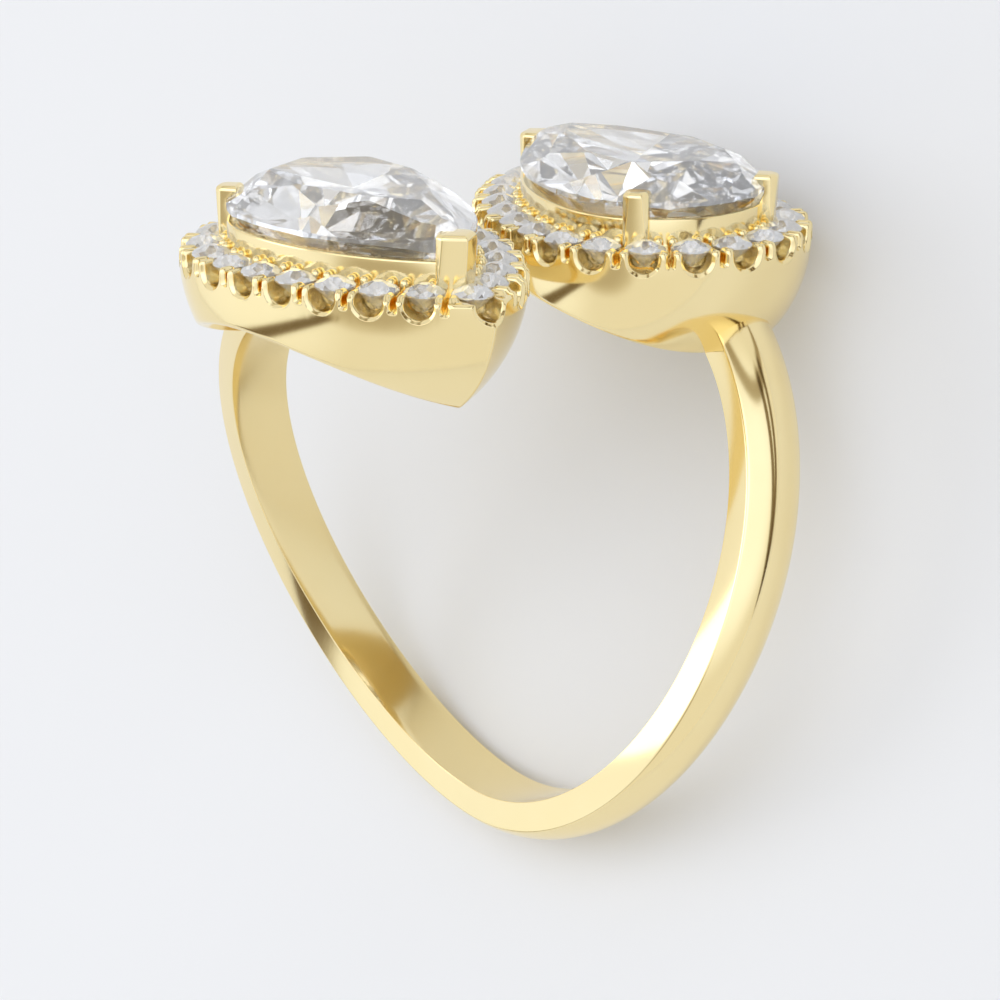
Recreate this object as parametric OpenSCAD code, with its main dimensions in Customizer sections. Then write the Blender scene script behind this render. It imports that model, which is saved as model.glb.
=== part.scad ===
/* [Finger and band] */
// Inner diameter of the ring, where the finger goes
finger_d = 17.0; // [15:0.1:22]
// Width of the band, measured along the finger
band_w = 2.1; // [1.6:0.1:3]
// Height of the band's flat side faces
band_side_h = 1.0; // [0.7:0.05:1.5]
// How far the rounded outer face rises above the side faces
band_dome_h = 0.45; // [0.2:0.05:0.8]
// How far each arm drifts sideways where it meets its setting
arm_drift = 5.55; // [4.9:0.05:6.5]
// Angle from the bottom of the band at which an arm has drifted all the way
arm_drift_angle = 161; // [155:1:175]
// Angle from the bottom of the band at which an arm ends inside its setting
arm_end_angle = 148; // [144:1:150]

/* [Setting place] */
// Distance from the ring's middle to the middle of a stone's round end, across the finger
head_x = 1.52; // [1:0.02:2.2]
// Distance from the ring's middle to the middle of a stone's round end, along the finger
head_y = 5.03; // [5:0.01:6]
// Turn of each setting about the upright axis
head_turn = 1.7; // [0:0.1:4]
// Height of the flat deck that carries the small stones, above the finger's axis
deck_z = 10.25; // [9.8:0.05:11]

/* [Main stones] */
// Width of a pear stone
stone_w = 7.0; // [6:0.1:7.4]
// Length of a pear stone
stone_l = 10.55; // [9.5:0.1:11.5]
// Height of the girdle above the deck
girdle_rise = 1.3; // [1.1:0.05:1.6]
// Thickness of the girdle
girdle_t = 0.12; // [0.08:0.01:0.25]
// Height of the crown, from the girdle to the table
crown_h = 1.06; // [0.7:0.02:1.3]
// Depth of the pavilion, from the girdle to the culet
pavilion_h = 2.9; // [2.4:0.05:3.05]
// Distance from the girdle in to the edge of the table
table_inset = 1.42; // [1.1:0.02:1.8]
// Distance from the middle of the round end to the culet, towards the point
culet_x = 0.9; // [0:0.05:1.5]

/* [Cup and collar] */
// Distance from the main stone's outline out to the cup's wall
cup_rim = 1.5; // [1.3:0.01:1.6]
// Extra length of the cup's pointed end
cup_point = 0.3; // [0:0.05:0.5]
// Radius of the curve of the cup's wall
cup_wall_r = 4.75; // [4.2:0.05:5.5]
// Depth below the deck at which the cup's wall starts to curve in
cup_wall_drop = 0.27; // [0.2:0.01:0.8]
// Lean of the cup's wall, so that its point tapers more than its round end
cup_lean = 3.5; // [0:0.5:6]
// Height of the collar above the deck
collar_h = 0.87; // [0.6:0.01:1.2]
// Thickness of the collar's wall
collar_t = 0.38; // [0.3:0.01:0.5]
// Distance from the main stone's outline in to the opening through the cup's floor
floor_inset = 1.35; // [1.1:0.05:1.7]
// Depth below the deck at which the opening narrows
floor_drop = 0.45; // [0.3:0.05:0.8]

/* [Small stones] */
// Number of small stones round each main stone
melee_n = 22; // [18:1:24]
// Diameter of a small stone
melee_d = 1.28; // [1.1:0.02:1.3]
// Distance from the main stone's outline out to the middles of the small stones
melee_out = 0.64; // [0.6:0.01:0.85]
// Height of the small stones' girdles above the deck
melee_rise = 0.07; // [0:0.01:0.1]
// Gap all round a stone in its seat
seat_gap = 0.02; // [0.01:0.005:0.05]
// Radius of the round window cut in the wall beside each small stone
window_r = 0.45; // [0.35:0.01:0.5]
// Height of the window's middle below the deck
window_drop = 0.1; // [0.05:0.01:0.3]
// Bevel round each window
window_bevel = 0.09; // [0.04:0.01:0.12]
// Width of the notch that splits the metal between two small stones into prongs
notch_w = 0.16; // [0.12:0.01:0.24]
// Depth of the notch below the deck
notch_h = 0.34; // [0.25:0.01:0.6]
// Height of the small prongs' tops above the deck
bead_rise = 0.15; // [0.05:0.01:0.25]
// Width of a pair of small prongs, with the notch between them
bead_w = 0.72; // [0.5:0.02:0.8]
// Length of a small prong's top, from the cup's wall inwards
bead_l = 0.4; // [0.3:0.01:0.5]

/* [Prongs] */
// Width of the prongs at a main stone's round end
prong_w = 0.82; // [0.6:0.02:1]
// How far the prongs stand out from the main stone's outline
prong_out = 0.42; // [0.3:0.02:0.5]
// How far the prongs reach over the main stone
prong_over = 0.32; // [0.25:0.01:0.6]
// Height of the prongs' tops above the girdle
prong_top = 0.46; // [0.4:0.02:0.7]
// Angle between each round-end prong and the stone's long axis
prong_angle = 135; // [120:1:150]
// Bevel on the prongs' edges
prong_bevel = 0.15; // [0.08:0.01:0.2]
// Length of each wing of the V-shaped prong, from the stone's point
v_wing = 0.66; // [0.5:0.02:1.2]

/* [Rest] */
// Lay the ring on its side, as it rests on a table
lie_down = true;
// Compass angle, round the ring's upright axis, of the side that comes to face down
rest_side = 103; // [95:0.5:112]
// Angle by which that side's downward direction dips below the finger's plane
rest_dip = 24.3; // [20:0.1:28]

/* [Hidden] */

gold = [0.93, 0.79, 0.45];
diamond = [0.88, 0.92, 0.96];
fine = 96;
coarse = 32;
eps = 0.01;

finger_r = finger_d / 2;
stone_r = stone_w / 2;
stone_tip = stone_l - stone_r;
girdle_z = deck_z + girdle_rise;
collar_z = deck_z + collar_h;
melee_z = deck_z + melee_rise;

// Cut of a small stone: heights as shares of its diameter, rings of points as shares of its radius
melee_top = melee_z + melee_d * 0.225;
melee_star = melee_z + melee_d * 0.14;
melee_half_girdle = melee_d * 0.015;
melee_lower = melee_z - melee_d * 0.31;
melee_culet = melee_z - melee_d * 0.42;
table_share = 0.5;
star_share = 0.77;
lower_share = 0.3;
seat_bottom_r = melee_d * 0.1;
seat_depth = melee_d * 0.46;

// Cut of a pear stone: levels as shares of the crown or the pavilion
star_level = 0.62;
star_inset = 0.5;
lower_level = 0.74;
lower_pull = 0.24;

// How deep the prongs and the band's arms are rooted, and how far a trimming shape reaches past the metal
prong_foot = 0.3;
arm_root = 0.4;
cup_depth = 5;
past = 1;
drift_power = 1.12;

// A pear outline is a half circle of radius r at the round end and two arcs that meet in a point
// at x = tip. The arcs leave the half circle smoothly, so their radius follows from r and tip.
function side_r(r, tip) = (tip * tip + r * r) / (2 * r);
stone_side_r = side_r(stone_r, stone_tip);
stone_side_c = stone_side_r - stone_r;
function arc_tip(grow) = sqrt(pow(stone_side_r + grow, 2) - pow(stone_side_c, 2));
function arc_turn(grow) = atan2(arc_tip(grow), stone_side_c);
cup_r = stone_r + cup_rim;
cup_tip = arc_tip(cup_rim) + cup_point;
cup_side_r = side_r(cup_r, cup_tip);

// Length of the outline from the point to the round end's far side, at an offset from the stone
function half_round(grow) =
    (stone_side_r + grow) * arc_turn(grow) * PI / 180 + (stone_r + grow) * PI / 2;

// Place [x, y] and outward direction on the outline, at a distance s from the point
function on_side(s, grow) =
    let (a = arc_turn(grow) - s / (stone_side_r + grow) * 180 / PI)
    [(stone_side_r + grow) * sin(a), (stone_side_r + grow) * cos(a) - stone_side_c, 90 - a];
function on_end(s, grow) =
    let (side = (stone_side_r + grow) * arc_turn(grow) * PI / 180,
         a = 90 + (s - side) / (stone_r + grow) * 180 / PI)
    [(stone_r + grow) * cos(a), (stone_r + grow) * sin(a), a];
function on_half(s, grow) =
    s < (stone_side_r + grow) * arc_turn(grow) * PI / 180 ? on_side(s, grow) : on_end(s, grow);
function on_pear(share, grow) =
    let (half = half_round(grow), s = share * 2 * half)
    s <= eps ? [arc_tip(grow), 0, 0]
    : s <= half ? on_half(s, grow)
    : let (p = on_half(2 * half - s, grow)) [p[0], -p[1], -p[2]];

module pear2d(r, tip) {
    side = side_r(r, tip);
    union() {
        intersection() {
            circle(r = r, $fn = fine);
            translate([-2 * r, -2 * r]) square([2 * r, 4 * r]);
        }
        intersection() {
            translate([0, r - side]) circle(r = side, $fn = 2 * fine);
            translate([0, side - r]) circle(r = side, $fn = 2 * fine);
            translate([0, -2 * r]) square([2 * tip, 4 * r]);
        }
    }
}

// A wall that follows the stone's outline at an offset
module stone_prism(grow, z0, z1) {
    translate([0, 0, z0])
        linear_extrude(z1 - z0)
            pear2d(stone_r + grow, arc_tip(grow));
}

// Outline of the cup's wall, turned about an axis that lies inside by the radius r
module cup_profile(r) {
    top = deck_z + past;
    bend = deck_z - cup_wall_drop;
    intersection() {
        union() {
            translate([0, bend]) square([r, top - bend]);
            translate([r - cup_wall_r, bend]) circle(r = cup_wall_r, $fn = 2 * fine);
            translate([0, bend - cup_wall_r]) square([r - cup_wall_r, cup_wall_r]);
        }
        translate([0, deck_z - cup_depth]) square([r, cup_depth + past]);
    }
}

module cup_round_end() {
    rotate([0, 0, 90])
        rotate_extrude(angle = 180, $fn = fine)
            cup_profile(cup_r);
}

module cup_side() {
    intersection() {
        translate([0, cup_r - cup_side_r, 0])
            rotate_extrude($fn = 2 * fine)
                cup_profile(cup_side_r);
        cube([2 * cup_tip, 2 * cup_r, 2 * deck_z]);
    }
}

module cup_wall() {
    translate([0, 0, deck_z])
        rotate([0, -cup_lean, 0])
            translate([0, 0, -deck_z]) {
                cup_round_end();
                cup_side();
                mirror([0, 1, 0]) cup_side();
            }
}

// Ridges with sloped shoulders at both ends of a notch, which the notch parts into small prongs
module small_prongs() {
    outer = cup_rim - seat_gap * 2 - melee_out;
    for (x = [[outer - bead_l, outer], [-melee_out - collar_t / 2, bead_l / 2 - melee_out]])
        translate([x[0], 0, deck_z])
            rotate([90, 0, 90])
                linear_extrude(x[1] - x[0])
                    polygon([
                        [-bead_w / 2, -prong_foot], [bead_w / 2, -prong_foot], [bead_w / 2, bead_rise / 2],
                        [bead_w / 3, bead_rise], [-bead_w / 3, bead_rise], [-bead_w / 2, bead_rise / 2],
                    ]);
}

// One setting without its prongs: cup, deck and collar, in the setting's own place
module cup_and_collar() {
    difference() {
        union() {
            for (i = [0 : melee_n - 1])
                at_melee((i + 0.5) / melee_n) small_prongs();
            intersection() {
                cup_wall();
                translate([-2 * cup_r, -2 * cup_r, 0]) cube([4 * cup_tip, 4 * cup_r, deck_z]);
            }
            stone_prism(0, deck_z - floor_drop, collar_z);
        }
        stone_prism(-collar_t, deck_z - floor_drop, collar_z + past);
        stone_prism(-floor_inset, 0, collar_z);
    }
}

// How far the cup's wall lies from the point p, in the direction that p carries
function ray_out(w, d, r) = -w * d + sqrt(pow(w * d, 2) - w * w + r * r);
function wall_reach(p) =
    let (d = [cos(p[2]), sin(p[2])], side = p[1] < 0 ? -1 : 1)
    p[0] < 0 ? ray_out([p[0], p[1]], d, cup_r)
    : ray_out([p[0], p[1] + side * (cup_side_r - cup_r)], d, cup_side_r);

// Seat of a small stone and the window beside it, with x pointing out of the ring of stones
module small_seat(place, flared) {
    r = melee_d / 2;
    rotate_extrude($fn = coarse)
        polygon([
            [0, melee_z - seat_depth], [seat_bottom_r, melee_z - seat_depth],
            [r + seat_gap, melee_z - seat_gap], [r + seat_gap, melee_z + 2 * seat_gap],
            [r * star_share + seat_gap, melee_star + seat_gap],
            [r * table_share + seat_gap, melee_top + seat_gap], [0, melee_top + seat_gap],
        ]);
    translate([0, 0, deck_z - window_drop])
        rotate([0, 90, 0]) {
            cylinder(r = window_r, h = cup_rim + past, $fn = coarse);
            if (flared)
                translate([0, 0, wall_reach(place) - window_bevel])
                    cylinder(
                        r1 = window_r, r2 = window_r + 2 * window_bevel,
                        h = 2 * window_bevel, $fn = coarse
                    );
        }
}

module prong_notch() {
    translate([seat_gap * 2 - melee_out, 0, deck_z - notch_h])
        rotate([90, 0, 90])
            linear_extrude(cup_rim + past)
                polygon([
                    [-notch_w / 2, past], [-notch_w / 2, notch_w / 3], [-notch_w / 6, 0],
                    [notch_w / 6, 0], [notch_w / 2, notch_w / 3], [notch_w / 2, past],
                ]);
}

module at_melee(share) {
    p = on_pear(share, melee_out);
    translate([p[0], p[1], 0]) rotate([0, 0, p[2]]) children();
}

// Upright bar with a bent-over top, x pointing away from the stone and y along its girdle
module prong_shape(width) {
    foot_z = deck_z - prong_foot;
    top_z = girdle_z + prong_top;
    crown_slope = crown_h / table_inset;
    claw_z = girdle_z + girdle_t / 2 + prong_over * crown_slope + seat_gap;
    intersection() {
        translate([0, width / 2, 0])
            rotate([90, 0, 0])
                linear_extrude(width)
                    polygon([
                        [-collar_t / 2, foot_z],
                        [prong_out, foot_z],
                        [prong_out - seat_gap, top_z - prong_bevel],
                        [prong_out - prong_bevel, top_z],
                        [-prong_over + prong_bevel, top_z],
                        [-prong_over, claw_z + seat_gap],
                        [-prong_over, claw_z],
                        [seat_gap, girdle_z + girdle_t],
                        [seat_gap, girdle_z - girdle_t],
                        [-collar_t / 2, collar_z - prong_bevel],
                    ]);
        linear_extrude(top_z + past)
            polygon([
                [-past, -width / 2], [prong_out - prong_bevel, -width / 2],
                [prong_out, -width / 2 + prong_bevel], [prong_out, width / 2 - prong_bevel],
                [prong_out - prong_bevel, width / 2], [-past, width / 2],
            ]);
    }
}

module round_end_prongs() {
    for (side = [-1, 1])
        rotate([0, 0, side * prong_angle])
            translate([stone_r, 0, 0])
                prong_shape(prong_w);
}

// Chevron prong that wraps the stone's point: two bars that meet on the stone's long axis
module v_prong() {
    half_angle = 90 - arc_turn(0);
    overlap = prong_out + prong_over;
    for (side = [-1, 1])
        intersection() {
            translate([stone_tip, 0, 0])
                rotate([0, 0, side * half_angle])
                    translate([0, side * (v_wing - overlap) / 2, 0])
                        prong_shape(v_wing + overlap);
            translate([0, side > 0 ? 0 : -stone_w, 0]) cube([2 * stone_tip, stone_w, 2 * deck_z]);
        }
}

module setting() {
    difference() {
        union() {
            difference() {
                cup_and_collar();
                for (i = [0 : melee_n - 1])
                    at_melee((i + 0.5) / melee_n) prong_notch();
            }
            round_end_prongs();
            v_prong();
        }
        for (i = [0 : melee_n - 1])
            at_melee(i / melee_n) small_seat(on_pear(i / melee_n, melee_out), flared = i > 0);
    }
}

// The band is a run of cross-sections round the finger that drift sideways as they climb
function drift(a) = sign(a) * arm_drift * pow((1 - cos(180 * abs(a) / arm_drift_angle)) / 2, drift_power);
band_steps = 74;
dome_steps = 8;
band_root = finger_r - arm_root;
band_section = [
    [band_root, -band_w / 2],
    for (i = [0 : dome_steps])
        let (v = -1 + 2 * i / dome_steps)
        [finger_r + band_side_h + band_dome_h * (1 - v * v), v * band_w / 2],
    [band_root, band_w / 2],
];
function band_ring(a) = [
    for (p = band_section) [p[0] * sin(a), drift(a) + p[1], -p[0] * cos(a)]
];

module band() {
    n = dome_steps + 3;
    points = [
        for (k = [0 : band_steps])
            each band_ring(-arm_end_angle + 2 * arm_end_angle * k / band_steps)
    ];
    faces = [
        [for (j = [0 : n - 1]) j],
        for (k = [0 : band_steps - 1], j = [0 : n - 1])
            let (a = k * n + j, b = k * n + (j + 1) % n)
            each [[a, a + n, b], [b, a + n, b + n]],
        [for (j = [n - 1 : -1 : 0]) band_steps * n + j],
    ];
    polyhedron(points, faces, convexity = 6);
}

// Places one of the two settings, the near one or the one half a turn on
module near_place() {
    translate([-head_x, -head_y, 0]) rotate([0, 0, -head_turn]) children();
}

module far_place() {
    rotate([0, 0, 180]) near_place() children();
}

module finger_bore() {
    rotate([90, 0, 0])
        cylinder(r = finger_r, h = 4 * finger_d, center = true, $fn = 2 * fine);
}

// Facet points of a cut stone: rings of points at an inset and a height
function pear_ring(n, start, inset, z, pull, centre) = [
    for (i = [0 : n - 1])
        let (p = on_pear((i + start) / n, -inset))
        [centre + (p[0] - centre) * pull, p[1] * pull, z]
];
function round_ring(n, start, r, z) = [
    for (i = [0 : n - 1]) [r * cos((i + start) * 360 / n), r * sin((i + start) * 360 / n), z]
];

// Brilliant cut from rings: table 8, crown middle 8, girdle 8m top and bottom, pavilion 8, culet
module brilliant(table, middle, top, bottom, lower, culet) {
    m = len(top) / 8;
    points = concat(table, middle, top, bottom, lower, [culet]);
    t0 = 0;
    m0 = 8;
    g0 = 16;
    b0 = 16 + 8 * m;
    l0 = 16 + 16 * m;
    c0 = 24 + 16 * m;
    faces = [
        [for (i = [7 : -1 : 0]) t0 + i],
        for (i = [0 : 7])
            let (j = (i + 1) % 8, h = (i + 7) % 8)
            each [
                [t0 + i, t0 + j, m0 + i],
                [t0 + i, m0 + i, g0 + i * m], [t0 + i, g0 + i * m, m0 + h],
                for (k = [0 : m - 1]) [m0 + i, g0 + (i * m + k + 1) % (8 * m), g0 + i * m + k],
                for (k = [0 : m - 1])
                    let (a = i * m + k, b = (i * m + k + 1) % (8 * m))
                    each [[g0 + a, g0 + b, b0 + a], [b0 + a, g0 + b, b0 + b], [l0 + i, b0 + a, b0 + b]],
                [c0, b0 + i * m, l0 + i], [c0, l0 + h, b0 + i * m],
            ],
    ];
    polyhedron(points, faces, convexity = 2);
}

module pear_stone() {
    girdle = girdle_t / 2;
    brilliant(
        pear_ring(8, 0, table_inset, girdle_z + crown_h, 1, 0),
        pear_ring(8, 0.5, table_inset * star_inset, girdle_z + crown_h * star_level, 1, 0),
        pear_ring(32, 0, 0, girdle_z + girdle, 1, 0),
        pear_ring(32, 0, 0, girdle_z - girdle, 1, 0),
        pear_ring(8, 0.5, 0, girdle_z - pavilion_h * lower_level, lower_pull, culet_x),
        [culet_x, 0, girdle_z - pavilion_h]
    );
}

module small_stone() {
    r = melee_d / 2;
    brilliant(
        round_ring(8, 0, r * table_share, melee_top),
        round_ring(8, 0.5, r * star_share, melee_star),
        round_ring(16, 0, r, melee_z + melee_half_girdle),
        round_ring(16, 0, r, melee_z - melee_half_girdle),
        round_ring(8, 0.5, r * lower_share, melee_lower),
        [0, 0, melee_culet]
    );
}

module small_stones() {
    for (i = [0 : melee_n - 1])
        at_melee(i / melee_n) small_stone();
}

// The ring is built upright round the finger's axis, then laid down on its side. The shift brings
// the middle of the laid ring's footprint to the origin, with its lowest points at height zero.
rest_turn = atan2(-cos(rest_side), sin(rest_side) * sin(rest_dip));
rest_shift = [0.604, -2.822, 5.154];
module at_rest() {
    if (lie_down)
        translate(rest_shift)
            rotate([0, 0, rest_turn])
                rotate([rest_dip - 90, 0, 0])
                    rotate([0, 0, 90 - rest_side])
                        children();
    else
        children();
}

module ring_metal() {
    color(gold) at_rest()
        difference() {
            union() {
                band();
                near_place() setting();
                far_place() setting();
            }
            finger_bore();
        }
}

module pear_stone_near() {
    color(diamond) at_rest() near_place() pear_stone();
}

module pear_stone_far() {
    color(diamond) at_rest() far_place() pear_stone();
}

module small_stones_near() {
    color(diamond) at_rest() near_place() small_stones();
}

module small_stones_far() {
    color(diamond) at_rest() far_place() small_stones();
}

ring_metal();
pear_stone_near();
pear_stone_far();
small_stones_near();
small_stones_far();
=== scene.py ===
"""Looks of the toi et moi ring: polished yellow gold, two pear-shaped diamonds and their small round stones."""

import math

import bmesh
import bpy
import numpy as np
from bpy.props import FloatProperty, FloatVectorProperty, IntProperty, PointerProperty
from mathutils import Matrix, Vector


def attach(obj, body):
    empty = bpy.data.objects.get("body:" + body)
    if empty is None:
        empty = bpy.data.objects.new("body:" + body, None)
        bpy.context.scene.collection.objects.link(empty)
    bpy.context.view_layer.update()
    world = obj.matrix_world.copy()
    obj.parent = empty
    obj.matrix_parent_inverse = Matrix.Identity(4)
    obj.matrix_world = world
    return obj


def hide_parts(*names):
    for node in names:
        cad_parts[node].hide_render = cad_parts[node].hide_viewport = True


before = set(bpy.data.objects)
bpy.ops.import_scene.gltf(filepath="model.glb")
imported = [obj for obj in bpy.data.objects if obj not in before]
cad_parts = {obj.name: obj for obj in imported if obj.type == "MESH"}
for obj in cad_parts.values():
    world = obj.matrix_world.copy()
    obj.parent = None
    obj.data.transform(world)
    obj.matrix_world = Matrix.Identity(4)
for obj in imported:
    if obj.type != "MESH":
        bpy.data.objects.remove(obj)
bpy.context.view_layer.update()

bl_info = {
    "name": "Toi et Moi Ring",
    "version": (1, 0, 0),
    "blender": (4, 5, 0),
    "location": "View3D > Sidebar > Ring",
    "description": "Builds the polished metal and the cut stones of a toi et moi ring round its CAD frame",
    "category": "Object",
}

MM = 0.001


# Sizes that a user may change

def length(name, description, millimetres):
    return FloatProperty(name=name, description=description, default=millimetres * MM, unit="LENGTH", precision=5)


def turn(name, description, degrees):
    return FloatProperty(name=name, description=description, default=math.radians(degrees), subtype="ANGLE")


class RingBandSizes(bpy.types.PropertyGroup):
    """Finger size, band and resting pose"""

    finger_d: length("Finger diameter", "Inner diameter of the ring", 17.0)
    band_w: length("Band width", "Width of the band along the finger", 2.1)
    side_h: length("Side height", "Height of the band's flat sides", 1.0)
    dome_h: length("Dome height", "Rise of the band's rounded outer face above its sides", 0.45)
    edge: length("Band edge", "Radius of the polished edges of the band", 0.07)
    drift: length("Arm drift", "Sideways drift of each arm where it meets its setting", 5.55)
    drift_angle: turn("Drift angle", "Angle from the bottom at which the drift is complete", 161)
    end_angle: turn("Arm end", "Angle from the bottom at which an arm ends inside its setting", 148)
    rest_side: turn("Side down", "Compass angle of the side that faces the floor", 103)
    rest_dip: turn("Side dip", "Angle by which that side dips below the finger's plane", 24.3)
    rest_shift: FloatVectorProperty(
        name="Rest shift", description="Move that puts the laid ring on the floor, over the origin",
        default=(0.604 * MM, -2.822 * MM, 5.154 * MM), unit="LENGTH", precision=6,
    )


class RingSettingSizes(bpy.types.PropertyGroup):
    """Place and sizes of the two settings"""

    head_x: length("Setting across", "Middle of a round end, across the finger", 1.52)
    head_y: length("Setting along", "Middle of a round end, along the finger", 5.03)
    head_turn: turn("Setting turn", "Turn of each setting about the upright axis", 1.7)
    deck_z: length("Deck height", "Height of the deck of small stones above the finger's axis", 10.25)
    cup_rim: length("Cup rim", "Distance from the main stone's outline to the cup's wall", 1.5)
    cup_point: length("Cup point", "Extra length of the cup's pointed end", 0.3)
    wall_r: length("Wall radius", "Radius of the curve of the cup's wall", 4.75)
    wall_drop: length("Wall drop", "Depth below the deck where the wall starts to curve", 0.27)
    lean: turn("Wall lean", "Lean of the cup's wall towards its point", 3.5)
    collar_h: length("Collar height", "Height of the collar above the deck", 0.87)
    collar_t: length("Collar wall", "Thickness of the collar's wall", 0.38)
    floor_inset: length("Floor inset", "Distance in to the opening through the cup's floor", 1.35)
    floor_drop: length("Floor drop", "Depth of the cup's floor below the deck", 0.45)
    window_r: length("Window radius", "Radius of the window beside each small stone", 0.45)
    window_drop: length("Window drop", "Depth of the window's middle below the deck", 0.1)
    window_bevel: length("Window bevel", "Bevel round each window", 0.12)
    notch_w: length("Notch width", "Width of the notch between two prongs", 0.15)
    notch_h: length("Notch depth", "Depth of the notch between two prongs", 0.34)
    bead_rise: length("Small prong height", "Height of the outer small prongs' tops above the deck", 0.16)
    inner_rise: length(
        "Inner small prong height", "Height of the small prongs beside the collar above the deck", 0.33,
    )
    bead_r: length("Small prong radius", "Half the width of a small prong's rounded top", 0.16)
    bead_apart: length("Small prong spacing", "Distance between two small prongs beside a notch", 0.44)
    bead_l: length("Small prong length", "Length of a small prong's top, from the cup's wall inwards", 0.42)
    polish: length("Polish radius", "Radius that polishing leaves on the fine edges", 0.035)
    prong_w: length("Prong width", "Width of the prongs at a round end", 0.82)
    prong_out: length("Prong stand-off", "How far the prongs stand out from the stone", 0.42)
    prong_over: length("Prong reach", "How far the prongs reach over the stone", 0.32)
    prong_top: length("Prong height", "Height of the prongs above the girdle", 0.46)
    prong_lean: length("Prong lean", "How far a prong's outer face leans out from the deck to its top", 0.12)
    prong_bevel: length("Prong bevel", "Width of the bevels along a prong's edges, at its top", 0.2)
    prong_round: length("Prong rounding", "Radius of the rounded edge round a prong's top", 0.16)
    prong_angle: turn("Prong angle", "Angle between each prong and the stone's long axis", 135)
    v_wing: length("V prong wing", "Length of each wing of the prong at the point", 0.66)


class RingStoneSizes(bpy.types.PropertyGroup):
    """Sizes of the cut stones"""

    stone_w: length("Stone width", "Width of a pear stone", 7.0)
    stone_l: length("Stone length", "Length of a pear stone", 10.55)
    girdle_rise: length("Girdle height", "Height of the girdle above the deck", 1.3)
    girdle_t: length("Girdle thickness", "Thickness of the girdle", 0.12)
    crown_h: length("Crown height", "Height of the crown", 1.06)
    pavilion_h: length("Pavilion depth", "Depth of the pavilion", 2.9)
    table_inset: length("Table inset", "Distance in from the girdle to the table", 1.42)
    culet_x: length("Culet place", "Place of the culet along the stone", 0.9)
    melee_n: IntProperty(name="Small stones", description="Number of small stones round a main stone", default=22)
    melee_d: length("Small stone", "Diameter of a small stone", 1.28)
    melee_out: length("Small stone place", "Distance from the main stone's outline to the small stones", 0.64)
    melee_rise: length("Small stone rise", "Height of the small stones' girdles above the deck", 0.07)


class RingFinish(bpy.types.PropertyGroup):
    """Colours and finishes"""

    gold: FloatVectorProperty(
        name="Gold", description="Colour of the polished gold", subtype="COLOR",
        default=(0.97, 0.82, 0.46), min=0.0, max=1.0,
    )
    gold_deep: FloatVectorProperty(
        name="Deep gold", description="Colour of the gold where it is slightly less polished", subtype="COLOR",
        default=(0.94, 0.77, 0.40), min=0.0, max=1.0,
    )
    gloss: FloatProperty(
        name="Gold roughness", description="Roughness of the polished gold", default=0.11,
        min=0.0, max=1.0, subtype="FACTOR",
    )
    floor: FloatVectorProperty(
        name="Floor", description="Colour of the floor", subtype="COLOR",
        default=(0.82, 0.82, 0.82), min=0.0, max=1.0,
    )


class Millimetres:
    """Values of a property group, with lengths in millimetres and angles in radians"""

    def __init__(self, *groups):
        for group in groups:
            for key, prop in group.bl_rna.properties.items():
                if prop.type != "FLOAT" and prop.type != "INT":
                    continue
                value = getattr(group, key)
                if prop.type == "FLOAT" and prop.unit == "LENGTH":
                    value = np.array(value) / MM if prop.is_array else value / MM
                setattr(self, key, value)


def all_sizes(context):
    scene = context.scene
    s = Millimetres(scene.ring_band, scene.ring_setting, scene.ring_stones)
    s.finger_r = s.finger_d / 2
    s.stone_r = s.stone_w / 2
    s.girdle_z = s.deck_z + s.girdle_rise
    s.collar_z = s.deck_z + s.collar_h
    s.melee_z = s.deck_z + s.melee_rise
    s.stone = Pear(s.stone_r, s.stone_l - s.stone_r)
    cup_tip = s.stone.tip_at(s.cup_rim) + s.cup_point
    s.cup = Pear(s.stone_r + s.cup_rim, cup_tip)
    return s


# Places shared with the CAD model

def about_x(angle):
    c, s = math.cos(angle), math.sin(angle)
    return np.array([[1, 0, 0], [0, c, -s], [0, s, c]])


def about_y(angle):
    c, s = math.cos(angle), math.sin(angle)
    return np.array([[c, 0, s], [0, 1, 0], [-s, 0, c]])


def about_z(angle):
    c, s = math.cos(angle), math.sin(angle)
    return np.array([[c, -s, 0], [s, c, 0], [0, 0, 1]])


def lay_matrix(s):
    """Rotation that lays the upright ring on its side"""
    side, dip = s.rest_side, s.rest_dip
    last = math.atan2(-math.cos(side), math.sin(side) * math.sin(dip))
    return about_z(last) @ about_x(dip - math.pi / 2) @ about_z(math.pi / 2 - side)


def laid(s, points):
    """Upright millimetres to metres in the row frame"""
    return (np.asarray(points, float) @ lay_matrix(s).T + s.rest_shift) * MM


def in_head(s, points, far):
    """A setting's own millimetres to upright millimetres"""
    placed = np.asarray(points, float) @ about_z(-s.head_turn).T + [-s.head_x, -s.head_y, 0]
    return placed * [-1, -1, 1] if far else placed


class Pear:
    """Outline of a half circle and two arcs that meet in a point, and the curves parallel to it"""

    def __init__(self, r, tip):
        self.r = r
        self.side = (tip * tip + r * r) / (2 * r)
        self.c = self.side - r

    def tip_at(self, grow=0.0):
        return np.sqrt((self.side + grow) ** 2 - self.c ** 2)

    def at(self, share, grow=0.0):
        """x, y and the outward direction at a share of the outline counted from the point"""
        share, grow = np.broadcast_arrays(np.asarray(share, float) % 1.0, np.asarray(grow, float))
        side, round_r = self.side + grow, self.r + grow
        most = np.arctan2(self.tip_at(grow), self.c)
        arc, cap = side * most, round_r * math.pi / 2
        s = np.where(share > 0.5, 1 - share, share) * 2 * (arc + cap)
        on_arc = s < arc
        a = np.where(on_arc, math.pi / 2 - most + s / side, math.pi / 2 + (s - arc) / round_r)
        radius = np.where(on_arc, side, round_r)
        x = radius * np.cos(a)
        y = radius * np.sin(a) - np.where(on_arc, self.c, 0.0)
        flip = np.where(share > 0.5, -1.0, 1.0)
        return x, y * flip, np.where(share < 1e-9, 0.0, a * flip)


# Mesh helpers

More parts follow.
